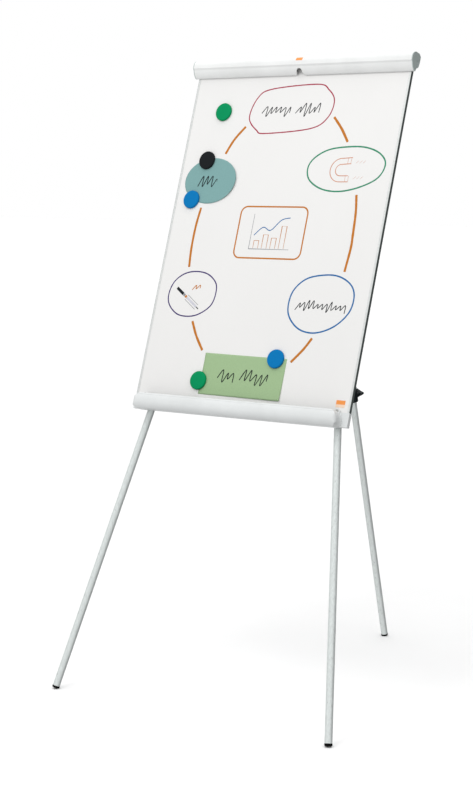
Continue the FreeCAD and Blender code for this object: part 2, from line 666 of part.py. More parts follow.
def make_saddle(low):
    """A saddle that holds an upper tube on the panel's back."""
    gap = v.leg_depth - v.board_thick
    flange = box((-v.saddle_width / 2, -gap, low), "saddle_width", "saddle_flange", "saddle_length")
    block = box((-v.collar_radius, -gap, low), "2 * collar_radius", "leg_depth - board_thick",
                "saddle_length")
    ring = cylinder((0, 0, low), "collar_radius", "saddle_length")
    seat = cylinder((0, 0, low - 1), "outer_radius", "saddle_length + 2")
    return cut(fuse(flange, block, ring), seat)


def make_saddles():
    """Two saddles on each side, and the eight rivets through their flanges."""
    lows = (930.0, 1530.0)
    pair(group(*[make_saddle(low) for low in lows]), "tube_saddles", LEG)
    face = v.saddle_flange - (v.leg_depth - v.board_thick)
    rivets = group(*[cylinder((x, face, low + v.saddle_length / 2), "rivet_radius", "rivet_height", ALONG_Y)
                     for low in lows for x in (-20.7, 20.7)])
    rivets.Placement = LEG
    twins = doc.addObject("Part::Mirroring", "RivetTwins")
    twins.Source = rivets
    twins.Normal = Vector(1, 0, 0)
    node(group(rivets, twins), "saddle_rivets")


def make_rear_leg():
    low = v.rear_collar_low
    joint = low + v.collar_length / 2
    top = v.hinge_reach - v.head_below
    node(tube(joint, top, "outer_radius", "outer_bore"), "rear_tube_upper", REAR)
    node(make_collar(low), "rear_collar", REAR)
    node(make_knob(), "rear_knob", REAR * Placement(Vector(0, 0, low + v.boss_high), UPRIGHT))
    foot, tube_low = make_foot(REAR)
    node(foot, "rear_foot", REAR)
    node(tube(tube_low, v.rear_inner_top - v.glide_length, "inner_radius", "inner_bore"),
         "rear_tube_lower", REAR)
    node(make_glide(v.rear_inner_top), "rear_glide", REAR)


def make_rear_head():
    """The leg's head: it turns on the hinge pin, and its heel stops against the bracket."""
    low = v.hinge_reach - v.head_below
    block = box((-v.head_width / 2, -v.head_half, low), "head_width", "2 * head_half",
                "head_below + head_above")
    shank = cylinder((0, 0, low - v.head_shank), "outer_bore", "head_shank")
    bore = cylinder((-20, 0, v.hinge_reach), "pin_radius + running_fit", "40", ALONG_X)
    beyond = box((-50, v.board_thick + v.plate_thick + v.stop_gap - 60, 1700), "100", "60", "150")
    beyond.Placement = REAR.inverse() * BOARD * beyond.Placement
    node(cut(fuse(block, shank), bore, beyond), "rear_head", REAR)


def hinge_height():
    """Distance up the panel of the rear hinge, on the rear leg's line at the pin's depth."""
    pin = REAR.multVec(Vector(0, 0, v.hinge_reach))
    return BOARD.inverse().multVec(pin)


def make_hinge_bracket():
    """A channel bracket screwed to the panel's back, with two ears for the pin."""
    pin = hinge_height()
    face = v.board_thick
    base = box((-v.plate_width / 2, face, pin.z - 39), "plate_width", "plate_thick", "plate_height")
    pieces = [base]
    for x in (v.ear_gap, -v.ear_gap - v.ear_thick):
        reach = pin.y - face
        pieces.append(box((x, face, pin.z - v.ear_radius), "ear_thick", "%f" % reach, "2 * ear_radius"))
        pieces.append(cylinder((x, pin.y, pin.z), "ear_radius", "ear_thick", ALONG_X))
    bore = cylinder((-30, pin.y, pin.z), "pin_radius", "60", ALONG_X)
    node(cut(fuse(*pieces), bore), "hinge_bracket", BOARD)
    outer = v.ear_gap + v.ear_thick
    rod = cylinder((-outer, pin.y, pin.z), "pin_radius", "2 * ( ear_gap + ear_thick )", ALONG_X)
    heads = [cylinder((x, pin.y, pin.z), "pin_radius + 2", "2", ALONG_X) for x in (outer, -outer - 2)]
    node(fuse(rod, *heads), "hinge_pin", BOARD)
    screws = []
    for x in (-27, 27):
        for up in (pin.z - 31, pin.z + 13):
            head = cylinder((x, face + v.plate_thick, up), "screw_radius", "screw_height", ALONG_Y)
            slot = box((x - 3, face + v.plate_thick + v.screw_height - 1, up - 0.5), "6", "1", "1")
            screws.append(cut(head, slot))
    node(group(*screws), "hinge_screws", BOARD)


# --- build, check and write ----------------------------------------------------------------

def check():
    """Stop before writing if any object failed or any sub-part isn't sound."""
    doc.recompute()
    for obj in doc.Objects:
        if "Invalid" in obj.State or "Error" in obj.State:
            raise RuntimeError("%s (%s): %s" % (obj.Name, obj.Label, obj.State))
    for obj in nodes:
        if obj.Shape.isNull() or not obj.Shape.isValid() or not obj.Shape.Solids:
            raise RuntimeError("bad shape: " + obj.Label)


def write():
    os.makedirs("parts", exist_ok=True)
    for obj in nodes:
        obj.Shape.exportStep("parts/%s.step" % obj.Label)
        print("%-20s %d solid(s) %10.1f mm3" % (obj.Label, len(obj.Shape.Solids), obj.Shape.Volume))
    print(len(nodes), "nodes")


make_panel()
make_frame_sides()
make_frame_ends()
make_papers()
make_labels()
make_magnets()
make_clamp_bar()
make_clamp_caps()
make_clamp_label()
make_rail()
make_rail_caps()
make_springs()
make_hooks()
make_tray()
make_tray_ends()
make_front_legs()
make_saddles()
make_rear_leg()
make_rear_head()
make_hinge_bracket()
check()
write()
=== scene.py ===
import json
import math
import random

import bmesh
import bpy
from mathutils import Matrix, Vector, noise


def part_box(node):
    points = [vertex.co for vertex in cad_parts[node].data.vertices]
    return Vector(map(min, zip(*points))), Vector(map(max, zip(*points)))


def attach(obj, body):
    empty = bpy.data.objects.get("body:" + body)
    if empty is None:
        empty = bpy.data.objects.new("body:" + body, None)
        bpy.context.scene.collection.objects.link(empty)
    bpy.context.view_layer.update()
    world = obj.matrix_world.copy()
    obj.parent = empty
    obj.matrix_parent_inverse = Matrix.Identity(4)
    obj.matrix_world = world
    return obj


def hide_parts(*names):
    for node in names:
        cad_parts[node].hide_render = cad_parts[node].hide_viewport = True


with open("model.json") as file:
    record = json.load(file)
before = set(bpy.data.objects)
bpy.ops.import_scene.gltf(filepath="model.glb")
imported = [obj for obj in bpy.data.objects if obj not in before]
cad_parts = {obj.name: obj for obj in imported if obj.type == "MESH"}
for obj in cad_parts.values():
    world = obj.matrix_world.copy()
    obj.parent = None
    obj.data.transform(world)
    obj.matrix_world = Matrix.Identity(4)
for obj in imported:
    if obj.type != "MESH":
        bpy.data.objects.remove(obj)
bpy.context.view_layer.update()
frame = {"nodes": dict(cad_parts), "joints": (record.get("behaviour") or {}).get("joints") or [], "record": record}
cad = frame["nodes"]
joints = {joint["name"]: joint for joint in frame["joints"]}
MM = 0.001
NOISE_LOW, NOISE_HIGH = 0.3, 0.7  # nearly all of a noise's values lie between these

# The panel's own frame: NORMAL points out of the writing face, UP runs up the face.
NORMAL = Vector(joints["lift_black"]["axis"]).normalized()
UP = Vector((0, NORMAL.z, -NORMAL.y))
RIGHT = Vector((1, 0, 0))
FACE = max(NORMAL.dot(point.co) for point in cad["writing_surface"].data.vertices)
LOW = min(UP.dot(point.co) for point in cad["writing_surface"].data.vertices)


def on_panel(x, up, lift=0.0):
    """A point in millimetres on the writing face: x from its middle, up from its lower edge."""
    return RIGHT * (x * MM) + UP * (LOW + up * MM) + NORMAL * (FACE + lift * MM)


# --- materials ---------------------------------------------------------------------------

def shade(colour, factor):
    return tuple(min(1.0, channel * factor) for channel in colour) + (1.0,)


class Graph:
    """A material's node tree, with the object's own coordinates as its texture space."""

    def __init__(self, name):
        self.material = bpy.data.materials.new(name)
        self.material.use_nodes = True
        self.nodes = self.material.node_tree.nodes
        self.links = self.material.node_tree.links
        self.shader = self.nodes["Principled BSDF"]
        self.place = self.nodes.new("ShaderNodeTexCoord").outputs["Object"]

    def mapped(self, stretch):
        mapping = self.nodes.new("ShaderNodeMapping")
        mapping.inputs["Scale"].default_value = stretch
        self.links.new(self.place, mapping.inputs["Vector"])
        return mapping.outputs["Vector"]

    def noise(self, scale, detail=3.0, stretch=(1, 1, 1), rough=0.5):
        node = self.nodes.new("ShaderNodeTexNoise")
        node.inputs["Scale"].default_value = scale
        node.inputs["Detail"].default_value = detail
        node.inputs["Roughness"].default_value = rough
        self.links.new(self.mapped(stretch), node.inputs["Vector"])
        return node.outputs["Fac"]

    def along(self, direction):
        """Distance in metres along a direction of the object's own space."""
        node = self.nodes.new("ShaderNodeVectorMath")
        node.operation = "DOT_PRODUCT"
        node.inputs[1].default_value = direction
        self.links.new(self.place, node.inputs[0])
        return node.outputs["Value"]

    def size_of(self, value):
        node = self.nodes.new("ShaderNodeMath")
        node.operation = "ABSOLUTE"
        self.links.new(value, node.inputs[0])
        return node.outputs["Value"]

    def between(self, value, low, high):
        """Rises from 0 to 1 as a value goes from low to high."""
        node = self.nodes.new("ShaderNodeMapRange")
        node.inputs["From Min"].default_value = low
        node.inputs["From Max"].default_value = high
        self.links.new(value, node.inputs["Value"])
        return node.outputs["Result"]

    def mixed(self, factor, first, second):
        node = self.nodes.new("ShaderNodeMix")
        node.data_type = "RGBA"
        self.links.new(factor, node.inputs["Factor"])
        self.links.new(first, node.inputs["A"])
        self.links.new(second, node.inputs["B"])
        return node.outputs["Result"]

    def colours(self, factor, low, high):
        """One colour where a noise is low, shading into another where it is high."""
        ramp = self.nodes.new("ShaderNodeValToRGB")
        ramp.color_ramp.elements[0].position = NOISE_LOW
        ramp.color_ramp.elements[1].position = NOISE_HIGH
        ramp.color_ramp.elements[0].color = low
        ramp.color_ramp.elements[1].color = high
        self.links.new(factor, ramp.inputs["Fac"])
        return ramp.outputs["Color"]

    def ranged(self, factor, low, high):
        """A noise stretched so that it runs from low to high."""
        node = self.nodes.new("ShaderNodeMapRange")
        node.inputs["From Min"].default_value = NOISE_LOW
        node.inputs["From Max"].default_value = NOISE_HIGH
        node.inputs["To Min"].default_value = low
        node.inputs["To Max"].default_value = high
        self.links.new(factor, node.inputs["Value"])
        return node.outputs["Result"]

    def bump(self, height, strength, distance):
        node = self.nodes.new("ShaderNodeBump")
        node.inputs["Strength"].default_value = strength
        node.inputs["Distance"].default_value = distance
        self.links.new(height, node.inputs["Height"])
        if self.shader.inputs["Normal"].is_linked:
            self.links.new(self.shader.inputs["Normal"].links[0].from_socket, node.inputs["Normal"])
        self.links.new(node.outputs["Normal"], self.shader.inputs["Normal"])

    def feed(self, socket, output):
        self.links.new(output, self.shader.inputs[socket])

    def set(self, **values):
        for name, number in values.items():
            self.shader.inputs[name.replace("_", " ")].default_value = number


def moulded(name, colour, rough=0.45, grain=900.0, depth=0.00008, **values):
    """Moulded plastic: faint cloudiness in the colour and a fine grain in the surface."""
    graph = Graph(name)
    cloud = graph.noise(14.0, 4.0)
    graph.feed("Base Color", graph.colours(cloud, shade(colour, 0.95), shade(colour, 1.03)))
    graph.feed("Roughness", graph.ranged(graph.noise(60.0, 5.0), rough - 0.06, rough + 0.07))
    graph.bump(graph.noise(grain, 2.0), 0.25, depth)
    graph.set(**values)
    return graph.material


def metal(name, colour, rough, stretch, metallic=1.0, depth=0.00003, **values):
    """Drawn or brushed metal: streaks along the direction that the stretch leaves long."""
    graph = Graph(name)
    streaks = graph.noise(1.0, 6.0, stretch)
    graph.feed("Base Color", graph.colours(streaks, shade(colour, 0.9), shade(colour, 1.08)))
    graph.feed("Roughness", graph.ranged(streaks, rough - 0.08, rough + 0.1))
    graph.bump(streaks, 0.3, depth)
    graph.set(Metallic=metallic, **values)
    return graph.material


def lacquer(name, colour, rough, **values):
    """Enamel on steel: an even coat with a slight orange peel and wiped smudges."""
    graph = Graph(name)
    smudge = graph.noise(5.0, 6.0, (1.0, 1.0, 0.35), 0.6)
    graph.feed("Base Color", graph.colours(smudge, shade(colour, 0.985), shade(colour, 1.0)))
    graph.feed("Roughness", graph.ranged(smudge, rough - 0.05, rough + 0.08))
    graph.bump(graph.noise(240.0, 2.0), 0.12, 0.00006)
    graph.set(**values)
    return graph.material


def paper(name, colour):
    """Uncoated card: short fibres in the colour and a toothy surface."""
    graph = Graph(name)
    fibres = graph.noise(700.0, 6.0, (1.0, 0.4, 0.25), 0.7)
    graph.feed("Base Color", graph.colours(fibres, shade(colour, 0.93), shade(colour, 1.05)))
    graph.feed("Roughness", graph.ranged(fibres, 0.82, 0.95))
    graph.bump(fibres, 0.35, 0.00008)
    return graph.material


def ink(name, colour):
    """Dry-wipe ink: it lies thicker and thinner along a stroke."""
    graph = Graph(name)
    flow = graph.noise(180.0, 4.0, (1.0, 1.0, 1.0), 0.65)
    graph.feed("Base Color", graph.colours(flow, shade(colour, 0.86), shade(colour, 1.1)))
    graph.feed("Roughness", graph.ranged(flow, 0.5, 0.7))
    graph.bump(flow, 0.2, 0.00004)
    graph.set(Specular_IOR_Level=0.15)
    return graph.material


SHADED_WEB_START, SHADED_WEB_FULL = 0.9 * MM, 0.2 * MM  # how far in from the panel's side the painted shade on the web starts and is whole


def edge_profile(name, face, shaded_web):
    """Anodised channel: pale lips in front, and painted shade on the web along the panel's sides, its colour
    darkened to stand in for the dark surround it faces.
    """
    graph = Graph(name)
    streaks = graph.noise(1.0, 6.0, (60.0, 500.0, 4.0))
    pale = graph.colours(streaks, shade(face, 0.93), shade(face, 1.05))
    # painted shade: the web's dark colour stands in for the shade that its dark surround gives it
    painted_shade = graph.colours(streaks, shade(shaded_web, 0.85), shade(shaded_web, 1.15))
    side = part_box("frame_side_right")[1][0]
    # the mask that puts the painted shade on the panel's sides
    shaded_side = graph.between(graph.size_of(graph.along((1, 0, 0))), side - SHADED_WEB_START, side - SHADED_WEB_FULL)
    graph.feed("Base Color", graph.mixed(shaded_side, pale, painted_shade))
    graph.feed("Roughness", graph.ranged(streaks, 0.36, 0.52))
    graph.bump(streaks, 0.25, 0.00003)
    graph.set(Metallic=0.25)
    return graph.material


BAND_SHARE, BAND_BLUR = 0.42, 0.8 * MM  # the pale band's share of the label, and its soft edge


def printed_label(name, node, colour, ground):
    """A printed film: a solid field above a pale band."""
    graph = Graph(name)
    low, high = [UP.dot(Vector(corner)) for corner in (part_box(node)[0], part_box(node)[1])]
    split = low + BAND_SHARE * (high - low)
    grain = graph.noise(900.0, 4.0)
    field = graph.colours(grain, shade(colour, 0.94), shade(colour, 1.06))
    band = graph.colours(grain, shade(ground, 0.95), shade(ground, 1.03))
    above = graph.between(graph.along(tuple(UP)), split - BAND_BLUR, split + BAND_BLUR)
    graph.feed("Base Color", graph.mixed(above, band, field))
    graph.feed("Roughness", graph.ranged(grain, 0.36, 0.48))
    return graph.material


FINISHES = {
    "writing_face": lacquer("white_lacquer", (0.79, 0.785, 0.775), 0.32, Coat_Weight=0.15),
    "core_board": paper("core_board", (0.5, 0.36, 0.22)),
    "back_skin": lacquer("back_lacquer", (0.42, 0.44, 0.44), 0.5, Metallic=0.3),
    # frame_profile: pale lips, and a dark web colour that is painted shade on the panel's sides
    "frame_profile": edge_profile("frame_profile", (0.66, 0.68, 0.67), (0.12, 0.14, 0.135)),
    "clamp_shell": moulded("clamp_shell", (0.79, 0.80, 0.795), 0.42),
    "cap_plastic": moulded("cap_plastic", (0.44, 0.50, 0.49), 0.5),
    "rail_metal": metal("rail_metal", (0.55, 0.56, 0.56), 0.4, (4.0, 500.0, 500.0)),
    "tray_plastic": moulded("tray_plastic", (0.70, 0.72, 0.72), 0.42),
    "tube_paint": metal("tube_paint", (0.71, 0.755, 0.745), 0.34, (300.0, 300.0, 6.0), metallic=0.2),
    "black_plastic": moulded("black_plastic", (0.008, 0.012, 0.014), 0.5, grain=700.0, depth=0.00015,
                             Specular_IOR_Level=0.2),
    "foot_rubber": moulded("foot_rubber", (0.003, 0.003, 0.003), 0.75, grain=500.0, depth=0.0002,
                           Specular_IOR_Level=0.1),
    "zinc_steel": metal("zinc_steel", (0.6, 0.6, 0.58), 0.35, (200.0, 200.0, 200.0)),
    "magnet_green": moulded("magnet_green", (0.004, 0.27, 0.1), 0.5, Specular_IOR_Level=0.02),
    "magnet_blue": moulded("magnet_blue", (0.005, 0.175, 0.45), 0.5, Specular_IOR_Level=0.02),
    "magnet_black": moulded("magnet_black", (0.014, 0.016, 0.018), 0.5, Specular_IOR_Level=0.02),
    "card_green": paper("card_green", (0.33, 0.475, 0.26)),
    "paper_teal": paper("paper_teal", (0.19, 0.36, 0.355)),
    "label_orange": printed_label("label_orange", "board_label", (0.86, 0.29, 0.055), (0.88, 0.66, 0.5)),
}
INKS = {
    "orange": ink("ink_orange", (0.51, 0.175, 0.02)),
    "red": ink("ink_red", (0.38, 0.04, 0.075)),
    "green": ink("ink_green", (0.035, 0.25, 0.14)),
    "blue": ink("ink_blue", (0.02, 0.14, 0.36)),
    "purple": ink("ink_purple", (0.05, 0.03, 0.15)),
    "black": ink("ink_black", (0.008, 0.012, 0.016)),
    "peach": ink("ink_peach", (0.6, 0.27, 0.17)),
    "grey": ink("ink_grey", (0.25, 0.26, 0.28)),
    "pale": ink("ink_pale", (0.6, 0.6, 0.66)),
}


def finish_cad():
    """Every CAD node takes the finish of its material slot."""
    slots = {part["node"]: part["material_slot"] for part in frame["record"]["subparts"]}
    for name, obj in cad.items():
        obj.data.materials.clear()
        obj.data.materials.append(FINISHES[slots[name]])


finish_cad()


# --- marker drawings on the panel ----------------------------------------------------------

STEP = 1.5  # millimetres between the points of a smooth stroke
LANES = 5  # vertices across a stroke
INK_LIFT, EDGE_LIFT = 0.05, 0.15  # how far ink stands off the panel
CROWN = 0.1
WOBBLE, WOBBLE_RATE, WOBBLE_SHIFT = 0.12, 0.09, 1.7
TAPER = 2.0  # a stroke's ends narrow over this many points
ARC_WIDTH, SCRIBBLE_WIDTH, CHART_WIDTH, HORSESHOE_WIDTH, TICK_WIDTH = 7.4, 2.6, 2.6, 2.4, 1.6


def smooth_line(points, closed):
    """Points about STEP millimetres apart along a Catmull-Rom curve through the given ones."""
    count = len(points)
    spans = count if closed else count - 1
    line = []
    for index in range(spans):
        ring = []
        for offset in (-1, 0, 1, 2):
            place = index + offset
            place = place % count if closed else min(max(place, 0), count - 1)
            ring.append(Vector(points[place]))
        before, start, end, after = ring
        steps = max(2, int((end - start).length / STEP))
        for part in range(steps):
            t = part / steps
            line.append(0.5 * (2 * start + (end - before) * t
                               + (2 * before - 5 * start + 4 * end - after) * t ** 2
                               + (3 * start - before - 3 * end + after) * t ** 3))
    if not closed:
        line.append(Vector(points[-1]))
    return line


def stroke(name, points, width, colour, closed=False, curved=True, lift=INK_LIFT):
    """A marker stroke: a thin ribbon of ink with a low crown, lying on the panel."""
    line = smooth_line(points, closed) if curved else [Vector(point) for point in points]
    count = len(line)
    vertices, faces = [], []
    for index, point in enumerate(line):
        after = line[(index + 1) % count] if closed or index < count - 1 else point
        before = line[index - 1] if closed or index > 0 else point
        along = (after - before).normalized()
        side = Vector((-along.y, along.x))
        spot = Vector((point.x * WOBBLE_RATE, point.y * WOBBLE_RATE, len(name) * WOBBLE_SHIFT))
        wobble = 1 + WOBBLE * noise.noise(spot)
        end = min(index, count - 1 - index) if not closed else count
        taper = math.sin(math.pi / 2 * min(1.0, (end + 0.6) / TAPER))
        for lane in range(LANES):
            offset = (lane / (LANES - 1) - 0.5) * width * wobble * taper
            crown = CROWN * (1 - (2 * lane / (LANES - 1) - 1) ** 2)
            place = point + side * offset
            vertices.append(on_panel(place.x, place.y, lift + crown))
    rows = count if closed else count - 1
    for row in range(rows):
        for lane in range(LANES - 1):
            low = row * LANES + lane
            high = (row + 1) % count * LANES + lane
            faces.append((low, low + 1, high + 1, high))
    mesh = bpy.data.meshes.new(name)
    mesh.from_pydata(vertices, [], faces)
    mesh.polygons.foreach_set("use_smooth", [True] * len(faces))
    mesh.update()
    if faces and mesh.polygons[0].normal.dot(NORMAL) < 0:
        mesh.flip_normals()
    obj = bpy.data.objects.new(name, mesh)
    bpy.context.scene.collection.objects.link(obj)
    mesh.materials.append(INKS[colour])
    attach(obj, "panel")


# Closed marker loops: (colour, width, points round the loop)
LOOPS = {
    "loop_red": ("red", 3.6, [(-88, 929), (60, 939), (100, 922), (124, 889), (112, 841), (62, 811),
                              (-84, 799), (-116, 809), (-148, 846), (-132, 904)]),
    "loop_green": ("green", 4.4, [(188, 757), (248, 756), (297, 739), (321, 709), (305, 670), (253, 644),
                                  (191, 632), (134, 639), (91, 664), (79, 697), (94, 726), (134, 749)]),
    "loop_purple": ("purple", 3.8, [(-229, 396), (-186, 390), (-154, 367), (-146, 339), (-154, 303),
                                    (-184, 278), (-220, 267), (-263, 271), (-296, 295), (-307, 325),
                                    (-297, 362), (-268, 387)]),
    "loop_blue": ("blue", 4.4, [(204, 400), (249, 395), (286, 373), (300, 341), (292, 299), (255, 261),
                                (202, 241), (153, 246), (116, 272), (100, 306), (107, 353), (144, 388)]),
}
# Thick strokes between the loops
ARCS = {
    "arc_high_right": [(133, 843), (164, 809), (191, 771)],
    "arc_high_left": [(-154, 820), (-185, 782), (-206, 740)],
    "arc_right": [(249, 623), (257, 575), (261, 510), (262, 475), (256, 410)],
    "arc_left": [(-254, 582), (-260, 525), (-260, 462), (-255, 408)],
    "arc_low_left": [(-207, 254), (-184, 213), (-154, 173)],
    "arc_low_right": [(194, 226), (173, 194), (141, 157)],
}
# Runs of scribble, each from one end to the other: (start, end, height, colour, waves)
SCRIBBLES = {
    "scribble_red_loop": ((-104, 868), (-12, 866), 22, "black", 6),
    "scribble_red_loop_end": ((8, 866), (84, 865), 22, "black", 5),
    "scribble_blue_loop": ((126, 315), (282, 311), 17, "black", 11),
    "scribble_oval": ((-277, 659), (-197, 659), 18, "black", 5),
    "scribble_card": ((-82, 106), (-30, 106), 20, "black", 3),
    "scribble_card_end": ((-8, 107), (80, 107), 24, "black", 5),
    "scribble_pen": ((-226, 349), (-200, 354), 14, "orange", 2),
}


def arc_points(centre, radius, start, stop, count):
    """Points along an arc of a circle, angles in degrees."""
    points = []
    for part in range(count):
        angle = math.radians(start + (stop - start) * part / (count - 1))
        points.append((centre[0] + radius * math.cos(angle), centre[1] + radius * math.sin(angle)))
    return points


def rounded_frame(left, right, low, high, radius):
    """Points round a rounded rectangle, from its upper right corner."""
    points = []
    for x, y, start in ((right - radius, high - radius, 0), (left + radius, high - radius, 90),
                        (left + radius, low + radius, 180), (right - radius, low + radius, 270)):
        points += arc_points((x, y), radius, start, start + 90, 7)
    return points


def scribble(name, start, end, height, colour, waves, lift):
    """A run of uneven waves: it stands for writing and spells nothing."""
    rng = random.Random(name)
    points = []
    for index in range(2 * waves + 1):
        share = index / (2 * waves)
        side = 1 if index % 2 else -1
        reach = height * rng.choice((0.32, 0.38, 0.45, 0.85))
        slant = side * height * 0.2
        points.append((start[0] + (end[0] - start[0]) * share + slant,
                       start[1] + (end[1] - start[1]) * share + side * reach))
    stroke(name, points, SCRIBBLE_WIDTH, colour, lift=lift)


def draw_loops():
    for name, (colour, width, points) in LOOPS.items():
        stroke(name, points, width, colour, closed=True)
    for name, points in ARCS.items():
        stroke(name, points, ARC_WIDTH, "orange")


def draw_scribbles():
    for name, (start, end, height, colour, waves) in SCRIBBLES.items():
        lift = PAPER_LIFT if name.startswith(("scribble_oval", "scribble_card")) else INK_LIFT
        scribble(name, start, end, height, colour, waves, lift)


def draw_middle():
    """A rounded frame with a plain bar chart and its rising line."""
    stroke("middle_frame", rounded_frame(-113, 107, 440, 587, 20), 4.4, "orange", closed=True, curved=False)
    stroke("chart_axes", [(-66, 566), (-66, 466), (66, 466)], 3.0, "grey", curved=False)
    foot, bar_width, bar_pitch = 468, 16, 28
    for index, high in enumerate((490, 507, 498, 532)):
        left = -52 + bar_pitch * index
        right = left + bar_width
        stroke("chart_bar_%d" % index, [(left, foot), (left, high), (right, high), (right, foot)],
               CHART_WIDTH, "orange", curved=False)
    stroke("chart_line", [(-56, 505), (-30, 528), (-4, 520), (26, 549), (54, 556)], CHART_WIDTH, "blue")


def draw_horseshoe():
    """A horseshoe sketch that opens to the right, with two short rows of ticks by its ends."""
    x, up = 185, 692
    bends = ("horseshoe_outside", 33, 32, 28), ("horseshoe_inside", 16, 30, 26)
    for name, radius, high_end, low_end in bends:
        bend = arc_points((x, up), radius, 90, 270, 13)
        stroke(name, [(x + high_end, up + radius + 2)] + bend + [(x + low_end, up - radius)],
               HORSESHOE_WIDTH, "peach")
    for name, side in (("high", 1), ("low", -1)):
        for index, left in enumerate((203, 213)):
            points = [(left, up + side * 16), (left + 1, up + side * 34)]
            stroke("horseshoe_tip_%s_%d" % (name, index), points, HORSESHOE_WIDTH, "peach", curved=False)
        for index in range(3):
            left, level = 229 + 11 * index, up + side * 22
            stroke("tick_%s_%d" % (name, index), [(left, level - 3), (left + 8, level + 4)],
                   TICK_WIDTH, "peach", curved=False)


# The pen's parts: (share of its length where each starts, where it ends, width, colour)
PEN = {
    "pen_cap": (0.0, 0.3, 19, "black"),
    "pen_ring": (0.31, 0.37, 17, "grey"),
    "pen_band": (0.38, 0.45, 16, "orange"),
    "pen_body": (0.46, 0.9, 15, "pale"),
    "pen_tip": (0.9, 1.0, 6, "black"),
}
PEN_EDGE, PEN_EDGE_WIDTH = 7.8, 1.4


def draw_pen():
    """A marker pen sketched along a slope: cap, ring, body and tip."""
    start, end = Vector((-281, 347)), Vector((-196, 289))
    for name, (low, high, width, colour) in PEN.items():
        stroke(name, [start.lerp(end, low), start.lerp(end, high)], width, colour, curved=False)
    side = Vector((end.y - start.y, start.x - end.x)).normalized() * PEN_EDGE
    for name, way in (("pen_edge_high", 1), ("pen_edge_low", -1)):
        stroke(name, [start.lerp(end, 0.44) + way * side, start.lerp(end, 0.92) + way * side],
               PEN_EDGE_WIDTH, "grey", lift=EDGE_LIFT)


# --- papers and magnets --------------------------------------------------------------------

PAPER_LIFT = 0.7  # height of the scribbles on the papers, clear of the papers' curl
PAPER_GAP, PAPER_THICK = 0.02, 0.25
HOLD = 24.0  # a paper lies flat this far on each side of the line between its two magnets
COLUMNS, ROWS = 48, 28


def panel_place(point):
    """A point's place on the panel in millimetres, x and up."""
    return Vector((point.x / MM, (UP.dot(point) - LOW) / MM))


def middle_of(node):
    low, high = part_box(node)
    return (Vector(low) + Vector(high)) / 2


def new_piece(name, mesh, slot, body="panel"):
    obj = bpy.data.objects.new(name, mesh)
    bpy.context.scene.collection.objects.link(obj)
    mesh.materials.append(FINISHES[slot])
    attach(obj, body)
    return obj


def sheet_of_paper(name, node, slot, inside, half, turn, holders, curl):
    """A thin sheet pinned by two magnets: it lifts off the panel away from the line between them."""
    centre = panel_place(middle_of(node))
    first, second = [panel_place(middle_of(holder)) for holder in holders]
    across = (second - first).normalized()
    across = Vector((-across.y, across.x))
    turned = Matrix.Rotation(math.radians(turn), 2)
    mesh_data = bmesh.new()
    grid = []
    for row in range(ROWS + 1):
        line = []
        for column in range(COLUMNS + 1):
            spot = inside(2 * column / COLUMNS - 1, 2 * row / ROWS - 1)
            place = centre + turned @ Vector((spot[0] * half[0], spot[1] * half[1]))
            away = max(0.0, abs((place - first).dot(across)) - HOLD)
            lift = PAPER_GAP + curl * (away / 100) ** 2
            line.append(mesh_data.verts.new(on_panel(place.x, place.y, lift)))
        grid.append(line)
    for near, far in zip(grid, grid[1:]):
        for column in range(COLUMNS):
            corners = near[column], near[column + 1], far[column + 1], far[column]
            mesh_data.faces.new(corners).smooth = True
    mesh = bpy.data.meshes.new(name)
    mesh_data.to_mesh(mesh)
    mesh_data.free()
    obj = new_piece(name, mesh, slot)
    thickness = obj.modifiers.new("thickness", "SOLIDIFY")
    thickness.thickness = PAPER_THICK * MM
    thickness.offset = 1.0
    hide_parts(node)


def as_square(across, up):
    return across, up


def as_disc(across, up):
    """A square grid's place pulled on to a disc, so that its edge is round."""
    return across * math.sqrt(1 - up * up / 2), up * math.sqrt(1 - across * across / 2)


def make_papers():
    sheet_of_paper("card_sheet", "green_card", "card_green", as_square, (134, 58), -0.4,
                   ("magnet_green_low", "magnet_blue_low"), 3.2)
    sheet_of_paper("oval_sheet", "teal_paper", "paper_teal", as_disc, (88, 67), 0,
                   ("magnet_black", "magnet_blue_high"), 4.0)


MAGNET_RADIUS, MAGNET_HIGH, MAGNET_BACK, SHOULDER = 26.4, 7.05, 0.45, 3.0
TURNS = 96


def magnet_profile():
    """Half the magnet's section as (radius, height): flat back, drafted rim, shoulder, crowned top."""
    profile = [(0.0, MAGNET_BACK), (MAGNET_RADIUS - 0.9, MAGNET_BACK)]
    profile.append((MAGNET_RADIUS - 0.3, MAGNET_BACK + 0.4))
    profile += arc_points((MAGNET_RADIUS - 0.5 - SHOULDER, MAGNET_HIGH - SHOULDER), SHOULDER, 0, 90, 7)
    return profile + [(20.0, MAGNET_HIGH + 0.12), (12.0, MAGNET_HIGH + 0.3), (0.0, MAGNET_HIGH + 0.4)]


def make_magnet(node, slot):
    """A moulded magnet: its section turned about its middle."""
    centre = panel_place(middle_of(node))
    mesh_data = bmesh.new()
    rings = []
    for reach, lift in magnet_profile():
        if reach == 0.0:
            rings.append([mesh_data.verts.new(on_panel(centre.x, centre.y, lift))])
            continue
        ring = []
        for part in range(TURNS):
            angle = 2 * math.pi * part / TURNS
            ring.append(mesh_data.verts.new(on_panel(centre.x + reach * math.cos(angle),
                                                     centre.y + reach * math.sin(angle), lift)))
        rings.append(ring)
    for inner, outer in zip(rings, rings[1:]):
        for part in range(TURNS):
            after = (part + 1) % TURNS
            corners = [inner[part % len(inner)], outer[part % len(outer)], outer[after % len(outer)],
                       inner[after % len(inner)]]
            mesh_data.faces.new(list(dict.fromkeys(corners))).smooth = True
    bmesh.ops.recalc_face_normals(mesh_data, faces=mesh_data.faces)
    mesh = bpy.data.meshes.new(node + "_cap")
    mesh_data.to_mesh(mesh)
    mesh_data.free()
    obj = new_piece(node + "_cap", mesh, slot, node.replace("magnet_", "button_"))
    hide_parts(node)


